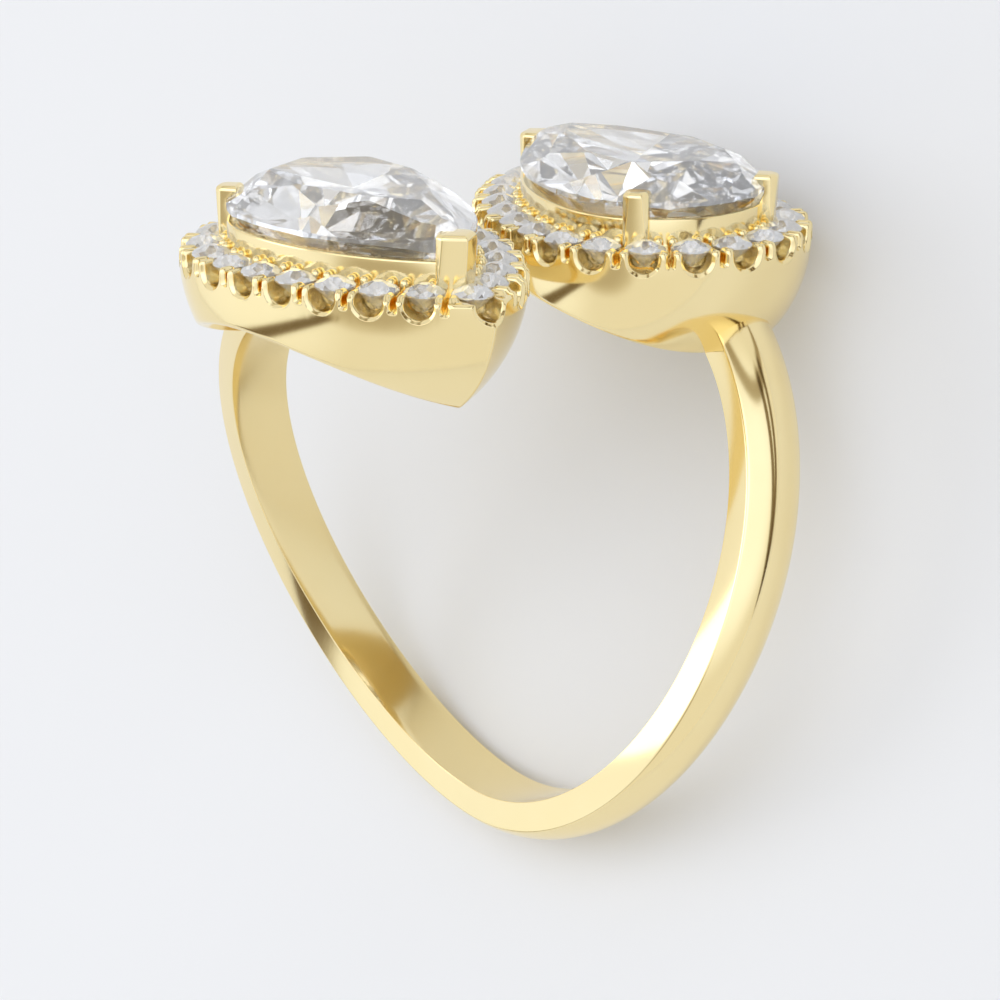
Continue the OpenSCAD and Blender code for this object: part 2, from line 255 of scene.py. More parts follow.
def new_piece(name, vertices, faces, material, nodes=(), smooth=True):
    """Makes one object, gives it its finish and lets it ride with the ring"""
    mesh = bpy.data.meshes.new(name)
    mesh.from_pydata([tuple(v) for v in vertices], [], [tuple(f) for f in faces])
    mesh.validate()
    mesh.update()
    if smooth:
        mesh.shade_smooth()
    else:
        mesh.shade_flat()
    piece = bpy.data.objects.new(name, mesh)
    bpy.context.scene.collection.objects.link(piece)
    mesh.materials.append(material)
    if nodes:
        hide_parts(*nodes)
    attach(piece, "root")
    return piece


def strip_faces(rows, columns, close_rows=False, close_columns=True):
    """Quads of a grid whose vertices are stored row by row"""
    r = np.arange(rows if close_rows else rows - 1)
    c = np.arange(columns if close_columns else columns - 1)
    r, c = np.meshgrid(r, c, indexing="ij")
    r2, c2 = (r + 1) % rows, (c + 1) % columns
    quads = np.stack([r * columns + c, r * columns + c2, r2 * columns + c2, r2 * columns + c], axis=-1)
    return quads.reshape(-1, 4)


# Band

DRIFT_POWER = 1.12


def band_profile(s, steps=14):
    """Closed section of the band as radius and sideways offset, with polished edges"""
    half = s.band_w / 2
    inner, side = s.finger_r, s.finger_r + s.side_h
    dome = [(side + s.dome_h * (1 - v * v), v * half) for v in np.linspace(1, -1, 2 * steps + 1)]
    corners = [(inner, -half), (inner, half)] + dome
    closed = np.array(corners)
    rounded = []
    n = len(closed)
    nearly_straight = -0.95
    for i in range(n):
        before, here, after = closed[i - 1], closed[i], closed[(i + 1) % n]
        u, v = before - here, after - here
        lu, lv = np.linalg.norm(u), np.linalg.norm(v)
        bend = np.dot(u, v) / (lu * lv)
        if bend < nearly_straight:
            rounded.append(here)
            continue
        cut = s.edge * (0.5 if here[0] < inner + 0.01 else 1.0)
        start, stop = here + u / lu * min(cut, lu * 0.45), here + v / lv * min(cut, lv * 0.9)
        for t in np.linspace(0, 1, 6):
            rounded.append((1 - t) ** 2 * start + 2 * t * (1 - t) * here + t * t * stop)
    flat = np.array(rounded)
    inner_row = [(inner, y) for y in np.linspace(-half + s.edge, half - s.edge, 9)]
    first = [i for i, p in enumerate(flat) if p[0] < inner + 1e-6 and p[1] < 0]
    cut_at = first[-1] + 1 if first else 0
    return np.concatenate([flat[:cut_at], inner_row[1:-1], flat[cut_at:]])


def drift_at(s, angle):
    """Sideways place of the band at an angle from its lowest point"""
    share = (1 - np.cos(math.pi * np.abs(angle) / s.drift_angle)) / 2
    return np.sign(angle) * s.drift * share ** DRIFT_POWER


def build_band(s, material):
    profile = band_profile(s)
    angles = np.linspace(-s.end_angle, s.end_angle, 420)
    r, y = profile[:, 0], profile[:, 1]
    a = angles[:, None]
    points = np.stack([r * np.sin(a), drift_at(s, a) + y, -r * np.cos(a)], axis=-1)
    n = len(profile)
    faces = strip_faces(len(angles), n).tolist()
    faces += [list(range(n))[::-1], [(len(angles) - 1) * n + k for k in range(n)]]
    piece = new_piece("band", laid(s, points.reshape(-1, 3)), faces, material, ["ring_metal"])
    piece.modifiers.new("even shading", "WEIGHTED_NORMAL").keep_sharp = True
    return piece


# Settings

def wall_point(s, share, z):
    """Point of the cup's wall at a share of its outline and a height, with the wall's lean"""
    rise = z - s.deck_z
    c, k = math.cos(s.lean), math.sin(s.lean)
    leant = np.array(rise, float) + 0 * share
    for _ in range(8):
        h = np.clip(-leant - s.wall_drop, 0, s.wall_r * 0.999)
        fall = s.wall_r - np.sqrt(s.wall_r ** 2 - h * h)
        x, y, _a = s.cup.at(share, -fall)
        leant = (rise - x * k) / c
    return np.stack([x * c - leant * k, y, z + 0 * x], axis=-1)


def deck_height(s, x, y, inset):
    """Height of the polished deck at places x, y, with its small prongs, seats, windows and notches"""
    n = s.melee_n
    seat_gap, beyond_wall, collar_foot = 0.02, 2.2, 0.06
    flare = np.clip(s.window_bevel - inset, 0, None)
    z = s.deck_z - np.clip(s.window_bevel * 0.7 - inset, 0, None)

    def beside(share):
        cx, cy, a = s.stone.at(share, s.melee_out)
        out = (x - cx) * math.cos(a) + (y - cy) * math.sin(a)
        return out, -(x - cx) * math.sin(a) + (y - cy) * math.cos(a)

    seat_r, low_r = s.melee_d / 2 + seat_gap, s.melee_d * 0.1
    depth = s.melee_d * 0.46
    for i in range(n):
        out, across = beside(i / n)
        rr = np.hypot(out, across)
        cone = s.melee_z - depth + np.clip(rr - low_r, 0, None) / (seat_r - low_r) * depth
        z = np.where(rr < seat_r, np.minimum(z, cone), z)
    last = s.cup_rim - s.melee_out - s.bead_r
    first = last - s.bead_l + s.bead_r
    for i in range(n):
        out, across = beside((i + 0.5) / n)
        past = np.clip(first - out, 0, None) + np.clip(out - last, 0, None)
        d = np.hypot(past, np.abs(across) - s.bead_apart / 2)
        dome = s.deck_z + s.bead_rise - s.bead_r + np.sqrt(np.clip(s.bead_r ** 2 - d * d, 0, None))
        z = np.where(d < s.bead_r, np.maximum(z, dome), z)
    for i in range(n):
        out, across = beside(i / n)
        r = s.window_r + flare
        hit = (out > 0) & (out < beyond_wall) & (np.abs(across) < r)
        trough = s.deck_z - s.window_drop - np.sqrt(np.clip(r * r - across ** 2, 0, None))
        z = np.where(hit, np.minimum(z, trough), z)
        out, across = beside((i + 0.5) / n)
        half = s.notch_w / 2 + flare * 0.8
        hit = (out > collar_foot - s.melee_out) & (out < beyond_wall) & (np.abs(across) < half)
        slot = s.deck_z - s.notch_h - flare * 0.6 + s.notch_w / 3 * (across / half) ** 4
        z = np.where(hit, np.minimum(z, slot), z)
    return z


def ring_smooth(values, sigma):
    """Gaussian smoothing of a closed run of evenly spaced values"""
    reach = int(4 * sigma) + 1
    k = np.exp(-0.5 * (np.arange(-reach, reach + 1) / sigma) ** 2)
    k /= k.sum()
    padded = np.concatenate([values[-reach:], values, values[:reach]])
    return np.convolve(padded, k, mode="valid")


def deck_row(s, weight, half_bay):
    """One row of the deck: shares of the outline and heights, close together on the steep places"""
    dense, fine = s.melee_n * 240, 0.012
    share = np.arange(dense) / dense
    ix, iy, _a = s.stone.at(share, 0.0)
    outer = wall_point(s, share, s.deck_z)
    x = ix + (outer[:, 0] - ix) * weight
    y = iy + (outer[:, 1] - iy) * weight
    inset = (1 - weight) * np.hypot(outer[:, 0] - ix, outer[:, 1] - iy)
    z = deck_height(s, x, y, inset)
    step = np.hypot(np.diff(np.append(x, x[0])), np.diff(np.append(y, y[0])))
    climb = np.abs(np.diff(np.append(z, z[0])))
    run = np.concatenate([[0], np.cumsum(np.hypot(step, climb))])
    total = run[-1]
    even = np.linspace(0, total, math.ceil(total / fine), endpoint=False)
    grown = np.interp(even, run, np.append(share, 1.0))
    high = np.interp(even, run, np.append(z, z[0]))
    sigma = s.polish / (even[1] - even[0])
    lag = ring_smooth(grown - np.arange(len(even)) / len(even), sigma)
    grown = lag + np.arange(len(even)) / len(even)
    high = ring_smooth(high, sigma)
    anchors = []
    n = 2 * s.melee_n
    for i in range(n):
        cx, cy, a = s.stone.at(i / n, s.melee_out)
        across = np.abs(-(x - cx) * math.sin(a) + (y - cy) * math.cos(a))
        near = np.hypot(x - cx, y - cy) < 1.4
        best = int(np.argmin(np.where(near, across, 9.0)))
        anchors.append(run[best] / total * len(even))
    anchors[0] = 0.0
    anchors.append(float(len(even)))
    shares, heights = [], []
    index = np.arange(len(even) + 1)
    grown = np.append(grown, grown[0] + 1.0)
    high = np.append(high, high[0])
    for start, stop in zip(anchors, anchors[1:]):
        place = np.linspace(start, stop, half_bay, endpoint=False)
        shares.append(np.interp(place, index, grown))
        heights.append(np.interp(place, index, high))
    return np.concatenate(shares), np.concatenate(heights)


def cup_rows(s, half_bay=22):
    """Rows of points that run once round the cup's section, from the floor opening back to it"""
    rows = []
    opening, floor_z = -s.floor_inset, s.deck_z - s.floor_drop
    lip, relief, lowest, heel = 0.07, 0.82, 4.5, 0.16

    def flat_row(share, grow, z):
        x, y, _a = s.stone.at(share, grow)
        rows.append(np.stack([x, y, z + 0 * x], axis=-1))

    weights = np.concatenate([[0.0, 0.02], np.linspace(0.05, 0.92, 24), [0.94, 0.955, 0.97, 0.98, 0.99, 1.0]])
    deck = [deck_row(s, w, half_bay) for w in weights]
    base = deck[0][0]
    x, y, _a = s.stone.at(base, opening)
    head = in_head(s, np.stack([x, y, 0 * x], axis=-1), False)
    roof = np.sqrt(s.finger_r ** 2 - head[:, 0] ** 2)
    edge = np.stack([x, y, roof], axis=-1)
    rows.append(edge)
    rows.append(edge + np.array([0, 0, 1]) * ((floor_z - 0.08 - roof) * 0.5)[:, None])
    flat_row(base, opening, floor_z - 0.08)
    for grow, z in ((opening + 0.02, floor_z - 0.02), (opening + 0.08, floor_z), (-s.collar_t - 0.1, floor_z),
                    (-s.collar_t - 0.03, floor_z + 0.03), (-s.collar_t, floor_z + 0.1)):
        flat_row(base, grow, z)
    for t in np.linspace(0, math.pi / 2, 4):
        flat_row(base, -s.collar_t + lip * (1 - math.cos(t)), s.collar_z - lip * (1 - math.sin(t)))
    for t in np.linspace(math.pi / 2, 0, 5):
        flat_row(base, -lip * (1 - math.cos(t)), s.collar_z - lip * (1 - math.sin(t)))
    foot = deck[0][1]
    for grow, lift in ((0.0, 0.45), (0.0, 0.12), (0.0, 0.05), (0.012, 0.018)):
        flat_row(base, grow, np.maximum(s.deck_z, foot) + lift)
    for (share, z), w in zip(deck, weights):
        ix, iy, _a = s.stone.at(share, 0.03 if w == 0 else 0.0)
        outer = wall_point(s, share, s.deck_z)
        rows.append(np.stack([ix + (outer[:, 0] - ix) * w, iy + (outer[:, 1] - iy) * w, z], axis=-1))
    crowded, top = deck[-1]
    knots = np.arange(0, len(crowded) + 1, half_bay)
    share = np.interp(np.arange(len(crowded)), knots, np.append(crowded[::half_bay], crowded[0] + 1.0))
    level = s.deck_z - relief
    for t in (0.03, 0.07, 0.13, 0.25, 0.45, 0.7, 1.0):
        rows.append(wall_point(s, crowded * (1 - t) + share * t, top * (1 - t) + level * t))

    def above_finger(z):
        p = in_head(s, wall_point(s, share, z), False)
        return p[:, 0] ** 2 + z ** 2 - s.finger_r ** 2

    low, high = np.full(len(share), lowest), np.full(len(share), level)
    for _ in range(40):
        middle = (low + high) / 2
        inside = above_finger(middle) > 0
        high, low = np.where(inside, middle, high), np.where(inside, low, middle)
    bottom = high
    for t in np.linspace(0, 1, 15)[1:-1]:
        rows.append(wall_point(s, share, level + (bottom + heel - level) * t))
    start = wall_point(s, share, bottom + heel)
    corner = wall_point(s, share, bottom)
    target = np.stack(s.stone.at(share, opening)[:2], axis=-1)
    away = target - corner[:, :2]
    span = np.linalg.norm(away, axis=1)[:, None]

    def under(distance):
        xy = corner[:, :2] + away / span * distance
        p = in_head(s, np.column_stack([xy, 0 * bottom]), False)
        return np.column_stack([xy, np.sqrt(s.finger_r ** 2 - p[:, 0] ** 2)])

    stop = under(np.full((len(share), 1), heel))
    for t in np.linspace(0, 1, 6):
        rows.append((1 - t) ** 2 * start + 2 * t * (1 - t) * corner + t * t * stop)
    for t in (0.25, 0.5, 0.75):
        rows.append(under(heel + (span - heel) * t))
    return rows


def inner_posts(s):
    """Small prongs with domed tops that stand beside the collar, two between each pair of small stones"""
    turns = np.arange(16) * math.pi / 8
    circle = np.column_stack([np.cos(turns), np.sin(turns), 0 * turns])
    top = s.deck_z + s.inner_rise - s.bead_r
    levels = [(s.deck_z - 0.2, 1.0)] + [(top + s.bead_r * math.sin(t), math.cos(t)) for t in np.linspace(0, 1.5, 7)]
    post, post_faces = loft([circle * s.bead_r * wide + [0, 0, z] for z, wide in levels])
    points, faces = [], []
    for i in range(s.melee_n):
        x, y, a = s.stone.at((i + 0.5) / s.melee_n, 0.1)
        for side in (-0.5, 0.5):
            offset = len(points) * len(post)
            points.append(post @ about_z(float(a)).T + [
                float(x) - math.sin(a) * side * s.bead_apart, float(y) + math.cos(a) * side * s.bead_apart, 0,
            ])
            faces += [[offset + k for k in f] for f in post_faces]
    return np.concatenate(points), faces


def build_settings(s, material):
    rows = cup_rows(s)
    columns = len(rows[0])
    posts, post_faces = inner_posts(s)
    points = np.concatenate(rows + [posts])
    faces = strip_faces(len(rows), columns, close_rows=True).tolist()
    faces += [[len(rows) * columns + k for k in f] for f in post_faces]
    pieces = []
    for name, far in (("setting_near", False), ("setting_far", True)):
        placed = laid(s, in_head(s, points, far))
        piece = new_piece(name, placed, faces, material, ["ring_metal"])
        piece.modifiers.new("even shading", "WEIGHTED_NORMAL").keep_sharp = True
        pieces.append(piece)
    return pieces


# Prongs

def soft_corners(corners, soft, steps=4):
    """Closed run of corners, each worn round over the same distance"""
    corners = np.asarray(corners, float)
    points = []
    for i, here in enumerate(corners):
        before, after = corners[i - 1], corners[(i + 1) % len(corners)]
        u, v = before - here, after - here
        lu, lv = np.linalg.norm(u), np.linalg.norm(v)
        start, stop = here + u / lu * min(soft, lu * 0.45), here + v / lv * min(soft, lv * 0.45)
        for t in np.linspace(0, 1, steps):
            points.append((1 - t) ** 2 * start + 2 * t * (1 - t) * here + t * t * stop)
    return np.array(points)


def prong_levels(s):
    """Levels up a prong: height, inner and outer face, narrowing towards the top, and width of the bevels"""
    foot, top = s.deck_z - 0.3, s.girdle_z + s.prong_top
    edge = s.girdle_z + s.girdle_t / 2
    claw = edge + s.prong_over * s.crown_h / s.table_inset - 0.01
    t = np.linspace(0, math.pi / 2, 7)
    rim_z, rim_in = top - s.prong_round * (1 - np.sin(t)), s.prong_round * (1 - np.cos(t))
    heights = [foot, s.deck_z, s.collar_z - 0.15, s.collar_z, s.girdle_z - s.girdle_t, edge, (edge + claw) / 2, claw]
    levels = []
    for z in sorted(heights + rim_z.tolist()):
        narrow = np.interp(z, rim_z, rim_in)
        inner = np.interp(
            z, [foot, s.collar_z - 0.15, s.girdle_z - s.girdle_t, edge, claw],
            [-s.collar_t / 2, -s.collar_t / 2, 0.02, 0.02, -s.prong_over],
        ) + 0.7 * narrow
        rise = np.interp(z, [s.deck_z, top - s.prong_round], [0, 1])
        outer = s.prong_out - s.prong_lean * (1 - rise) - narrow
        bevel = 0.05 + (s.prong_bevel - 0.05) * rise - 0.4 * narrow
        levels.append((z, inner, outer, narrow, bevel))
    return levels


def loft(sections):
    """Skin over closed sections of equal count, capped at both ends"""
    count = len(sections[0])
    faces = strip_faces(len(sections), count).tolist()
    faces += [list(range(count))[::-1], [(len(sections) - 1) * count + k for k in range(count)]]
    return np.concatenate(sections), faces


def round_end_prong(s):
    """Upright bar with a claw over the stone, x pointing away from the stone"""
    sections = []
    for z, inner, outer, narrow, bevel in prong_levels(s):
        half = s.prong_w / 2 - narrow
        section = soft_corners([
            (inner, -half), (outer - bevel, -half), (outer, bevel - half),
            (outer, half - bevel), (outer - bevel, half), (inner, half),
        ], 0.03)
        sections.append(np.column_stack([s.stone_r + section[:, 0], section[:, 1], z + 0 * section[:, 0]]))
    return loft(sections)


def v_prong(s):
    """Two wings that meet on the stone's long axis, each along one side of its point"""
    tip = s.stone.tip_at()
    lean = math.pi / 2 - math.atan2(tip, s.stone.c)
    c, k = math.cos(lean), math.sin(lean)

    def wing(out, along):
        return tip + c * out - k * along, k * out + c * along

    sections = []
    for z, inner, outer, narrow, bevel in prong_levels(s):
        end = s.v_wing - narrow
        half = [wing(outer, end - bevel), wing(outer - bevel, end), wing(inner, end)]
        other = [(x, -y) for x, y in reversed(half)]
        section = soft_corners([(tip + outer / c, 0)] + half + [(tip + inner / c, 0)] + other, 0.035)
        sections.append(np.column_stack([section, np.full(len(section), z)]))
    return loft(sections)


def build_prongs(s, material):
    bar, bar_faces = round_end_prong(s)
    chevron, chevron_faces = v_prong(s)
    pieces = []
    for label, far in (("near", False), ("far", True)):
        for mark, side in (("a", -1), ("b", 1)):
            placed = laid(s, in_head(s, bar @ about_z(side * s.prong_angle).T, far))
            name = "prong_%s_%s" % (label, mark)
            pieces.append(new_piece(name, placed, bar_faces, material, ["ring_metal"]))
        placed = laid(s, in_head(s, chevron, far))
        name = "prong_%s_v" % label
        pieces.append(new_piece(name, placed, chevron_faces, material, ["ring_metal"]))
    for piece in pieces:
        piece.modifiers.new("even shading", "WEIGHTED_NORMAL").keep_sharp = True
    return pieces


# Stones

def cut_solid(outline, low, high, planes):
    """Convex cut stone: a prism of the outline trimmed by facet planes, each a point and a direction"""
    bm = bmesh.new()
    bottom = [bm.verts.new((x, y, low)) for x, y in outline]
    top = [bm.verts.new((x, y, high)) for x, y in outline]
    n = len(outline)
    bm.faces.new(bottom[::-1])
    bm.faces.new(top)
    for i in range(n):
        j = (i + 1) % n
        bm.faces.new((bottom[i], bottom[j], top[j], top[i]))
    for point, normal in planes:
        geometry = bm.verts[:] + bm.edges[:] + bm.faces[:]
        cut = bmesh.ops.bisect_plane(
            bm, geom=geometry, dist=1e-5, plane_co=point, plane_no=normal, clear_outer=True,
        )
        edges = [e for e in cut["geom_cut"] if isinstance(e, bmesh.types.BMEdge)]
        if edges:
            bmesh.ops.holes_fill(bm, edges=edges, sides=0)
    bmesh.ops.remove_doubles(bm, verts=bm.verts, dist=1e-4)
    bmesh.ops.dissolve_limit(bm, angle_limit=1e-3, verts=bm.verts, edges=bm.edges)
    bmesh.ops.recalc_face_normals(bm, faces=bm.faces)
    vertices = np.array([v.co for v in bm.verts])
    faces = [[v.index for v in f.verts] for f in bm.faces]
    bm.free()
    return vertices, faces


def facet(direction, slope, reach, z):
    """Facet plane that leans inwards by slope from the line at that reach and height"""
    u = Vector((math.cos(direction), math.sin(direction), 0))
    normal = Vector((u.x * math.sin(slope), u.y * math.sin(slope), math.cos(slope)))
    return u * reach + Vector((0, 0, z)), normal


def pear_cut(s):
    girdle = 72
    x, y, _a = s.stone.at(np.arange(girdle) / girdle, 0.0)
    outline = list(zip(x.tolist(), y.tolist()))
    top, low = s.girdle_z + s.girdle_t / 2, s.girdle_z - s.girdle_t / 2
    directions = [float(s.stone.at(k / 16, 0.0)[2]) for k in range(16)]
    star, upper, lower = 0.62, 1.18, 1.045

    def reach(direction):
        return float(np.max(x * math.cos(direction) + y * math.sin(direction)))

    crown = math.atan2(s.crown_h, s.table_inset)
    planes = [(Vector((0, 0, top + s.crown_h - s.girdle_t / 2)), Vector((0, 0, 1)))]
    depth = s.pavilion_h - s.girdle_t / 2
    for k, direction in enumerate(directions):
        h = reach(direction)
        to_culet = h - s.culet_x * math.cos(direction)
        slope = math.atan2(depth, to_culet)
        if k % 2 == 0:
            planes.append(facet(direction, crown, h, top))
            point, normal = facet(direction, slope, h, low)
            planes.append((point, Vector((normal.x, normal.y, -normal.z))))
        else:
            planes.append(facet(direction, crown * star, h - 0.52 * s.table_inset, top + s.crown_h * star))
    for k in range(16):
        a, b = directions[k], directions[(k + 1) % 16]
        if k == 8:
            a -= 2 * math.pi
        direction = (a + b) / 2
        h = reach(direction)
        planes.append(facet(direction, crown * upper, h, top))
        to_culet = h - s.culet_x * math.cos(direction)
        slope = math.atan2(depth, to_culet) * lower
        point, normal = facet(direction, slope, h, low)
        planes.append((point, Vector((normal.x, normal.y, -normal.z))))
    return cut_solid(outline, s.girdle_z - s.pavilion_h - 0.5, s.girdle_z + s.crown_h + 0.5, planes)


def round_cut(s):
    r, girdle = s.melee_d / 2, 32
    a = np.arange(girdle) * 2 * math.pi / girdle
    outline = list(zip((r * np.cos(a)).tolist(), (r * np.sin(a)).tolist()))
    thick = s.melee_d * 0.015
    crown, under = math.radians(38.5), math.radians(41.5)
    star, upper, lower = 0.62, 1.2, 1.05
    planes = [(Vector((0, 0, s.melee_d * 0.225)), Vector((0, 0, 1)))]
    for k in range(8):
        d = k * math.pi / 4
        planes.append(facet(d, crown, r, thick))
        point, normal = facet(d, under, r, -thick)
        planes.append((point, Vector((normal.x, normal.y, -normal.z))))
        planes.append(facet(d + math.pi / 8, crown * star, r * 0.73, thick + r * 0.205))
    for k in range(16):
        d = (k + 0.5) * math.pi / 8
        planes.append(facet(d, crown * upper, r, thick))
        point, normal = facet(d, under * lower, r, -thick)
        planes.append((point, Vector((normal.x, normal.y, -normal.z))))
    return cut_solid(outline, -r, r, planes)


def build_main_stones(s, material):
    points, faces = pear_cut(s)
    pieces = []
    for name, far in (("pear_diamond_near", False), ("pear_diamond_far", True)):
        node = "pear_stone_far" if far else "pear_stone_near"
        placed = laid(s, in_head(s, points, far))
        pieces.append(new_piece(name, placed, faces, material, [node], smooth=False))
    return pieces


def build_small_stones(s, material):
    base, base_faces = round_cut(s)
    pieces = []
    for name, far in (("halo_diamonds_near", False), ("halo_diamonds_far", True)):
        node = "small_stones_far" if far else "small_stones_near"
        points, faces = [], []
        for i in range(s.melee_n):
            x, y, a = s.stone.at(i / s.melee_n, s.melee_out)
            spin = a + 0.37 * math.sin(12.9 * i + 1.3)
            offset = len(points) * len(base)
            points.append(base @ about_z(float(spin)).T + [float(x), float(y), s.melee_z])
            faces += [[offset + k for k in f] for f in base_faces]
        placed = laid(s, in_head(s, np.concatenate(points), far))
        pieces.append(new_piece(name, placed, faces, material, [node], smooth=False))
    return pieces


# Finishes

def node_tree(name):
    material = bpy.data.materials.get(name) or bpy.data.materials.new(name)
    material.use_nodes = True
    tree = material.node_tree
    tree.nodes.clear()
    return material, tree


def polished_gold(finish):
    """Yellow gold with a soft unevenness of polish and fine hairline marks"""
    material, tree = node_tree("polished_gold")
    nodes, links = tree.nodes, tree.links
    out = nodes.new("ShaderNodeOutputMaterial")
    shader = nodes.new("ShaderNodeBsdfPrincipled")
    shader.inputs["Metallic"].default_value = 1.0
    place = nodes.new("ShaderNodeTexCoord")
    cloud = nodes.new("ShaderNodeTexNoise")
    cloud.inputs["Scale"].default_value = 420.0
    cloud.inputs["Detail"].default_value = 3.0
    tint = nodes.new("ShaderNodeMix")
    tint.data_type = "RGBA"
    tint.inputs["A"].default_value = (*finish.gold, 1)
    tint.inputs["B"].default_value = (*finish.gold_deep, 1)
    gloss = nodes.new("ShaderNodeMapRange")
    gloss.inputs["To Min"].default_value = finish.gloss * 0.8
    gloss.inputs["To Max"].default_value = finish.gloss * 1.25
    hair = nodes.new("ShaderNodeTexNoise")
    hair.inputs["Scale"].default_value = 9000.0
    hair.inputs["Detail"].default_value = 2.0
    stretch = nodes.new("ShaderNodeMapping")
    stretch.inputs["Scale"].default_value = (1.0, 0.12, 0.3)
    bump = nodes.new("ShaderNodeBump")
    bump.inputs["Strength"].default_value = 0.012
    bump.inputs["Distance"].default_value = 0.00002
    links.new(place.outputs["Object"], cloud.inputs["Vector"])
    links.new(place.outputs["Object"], stretch.inputs["Vector"])
    links.new(stretch.outputs["Vector"], hair.inputs["Vector"])
    links.new(cloud.outputs["Fac"], tint.inputs["Factor"])
    links.new(cloud.outputs["Fac"], gloss.inputs["Value"])
    links.new(hair.outputs["Fac"], bump.inputs["Height"])
    links.new(tint.outputs["Result"], shader.inputs["Base Color"])
    links.new(gloss.outputs["Result"], shader.inputs["Roughness"])
    links.new(bump.outputs["Normal"], shader.inputs["Normal"])
    links.new(shader.outputs["BSDF"], out.inputs["Surface"])
    return material


def cut_diamond(name, tint, roughness, mirror, clear):
    """Colourless diamond: part of its light shines back from inside, the rest passes or mirrors"""
    material, tree = node_tree(name)
    nodes, links = tree.nodes, tree.links
    out = nodes.new("ShaderNodeOutputMaterial")
    shader = nodes.new("ShaderNodeBsdfPrincipled")
    shader.inputs["Transmission Weight"].default_value = clear
    shader.inputs["Metallic"].default_value = mirror
    shader.inputs["IOR"].default_value = 2.42
    place = nodes.new("ShaderNodeTexCoord")
    cloud = nodes.new("ShaderNodeTexNoise")
    cloud.inputs["Scale"].default_value = 900.0
    shade = nodes.new("ShaderNodeMix")
    shade.data_type = "RGBA"
    shade.inputs["A"].default_value = (*tint, 1)
    shade.inputs["B"].default_value = (tint[0] * 0.97, tint[1] * 0.975, tint[2] * 0.985, 1)
    links.new(place.outputs["Object"], cloud.inputs["Vector"])
    links.new(cloud.outputs["Fac"], shade.inputs["Factor"])
    links.new(shade.outputs["Result"], shader.inputs["Base Color"])
    shader.inputs["Roughness"].default_value = roughness
    links.new(shader.outputs["BSDF"], out.inputs["Surface"])
    return material


def floor_finish(finish):
    material, tree = node_tree("pale_floor")
    nodes, links = tree.nodes, tree.links
    out = nodes.new("ShaderNodeOutputMaterial")
    shader = nodes.new("ShaderNodeBsdfPrincipled")
    shader.inputs["Roughness"].default_value = 0.6
    place = nodes.new("ShaderNodeTexCoord")
    cloud = nodes.new("ShaderNodeTexNoise")
    cloud.inputs["Scale"].default_value = 30.0
    shade = nodes.new("ShaderNodeMix")
    shade.data_type = "RGBA"
    shade.inputs["A"].default_value = (*finish.floor, 1)
    shade.inputs["B"].default_value = tuple(c * 0.985 for c in finish.floor) + (1,)
    links.new(place.outputs["Object"], cloud.inputs["Vector"])
    links.new(cloud.outputs["Fac"], shade.inputs["Factor"])
    links.new(shade.outputs["Result"], shader.inputs["Base Color"])
    links.new(shader.outputs["BSDF"], out.inputs["Surface"])
    return material


# Stage

# Camera round the upright ring: turn and rise in degrees, then distance and moves in millimetres
CAMERA_TURN, CAMERA_RISE = 55.746, 17.58
CAMERA_AWAY, CAMERA_RIGHT, CAMERA_UP = 115.66, 0.0072, 1.3028
SENSOR_WIDTH, LENS = 36.0, 128.0

# Dark strips: axis that a strip is square to, half its width, direction of its middle, its reach, how dark
DARK_STRIPS = (
    ((0.787, -0.277, -0.551), 0.033, (-0.166, -0.942, 0.292), 0.885, 0.85),
    ((0.101, -0.227, 0.969), 0.04, (0.565, 0.807, 0.174), 0.76, 0.8),
    ((0.170, -0.422, 0.891), 0.05, (0.565, 0.807, 0.26), 0.78, 0.8),
)

# Cards that only the stones see: directions of their rows, rows a radian, and change of light on and off them
CARD_AXES = ((1, 0.2, 0), (-0.1, 1, 0.3))
CARD_WAVES, CARD_BRIGHT, CARD_DARK = 8.0, 0.75, -0.65
WALL_LIGHT = 0.86


def camera_axes():
    """Right, up and backward directions of the photograph's camera, round the upright ring"""
    az, el = math.radians(CAMERA_TURN), math.radians(CAMERA_RISE)
    back = np.array([math.sin(az) * math.cos(el), -math.cos(az) * math.cos(el), math.sin(el)])
    right = np.array([math.cos(az), math.sin(az), 0.0])
    return right, np.cross(back, right), back


def add_camera(s):
    right, up, back = camera_axes()
    lay = lay_matrix(s)
    place = laid(s, back * CAMERA_AWAY + right * CAMERA_RIGHT + up * CAMERA_UP)
    axes = np.column_stack([lay @ right, lay @ up, lay @ back])
    data = bpy.data.cameras.new("camera")
    data.sensor_width = SENSOR_WIDTH
    data.lens = LENS
    data.clip_start, data.clip_end = 0.002, 20.0
    camera = bpy.data.objects.new("camera", data)
    bpy.context.scene.collection.objects.link(camera)
    matrix = Matrix(axes.tolist()).to_4x4()
    matrix.translation = Vector(place.tolist())
    camera.matrix_world = matrix
    bpy.context.scene.camera = camera
    return camera


def add_soft_light(name, place, target, size, power):
    data = bpy.data.lights.new(name, "AREA")
    data.shape = "DISK"
    data.size = size
    data.energy = power
    light = bpy.data.objects.new(name, data)
    bpy.context.scene.collection.objects.link(light)
    light.location = Vector(place)
    light.rotation_euler = (Vector(target) - Vector(place)).to_track_quat("-Z", "Y").to_euler()
    return light


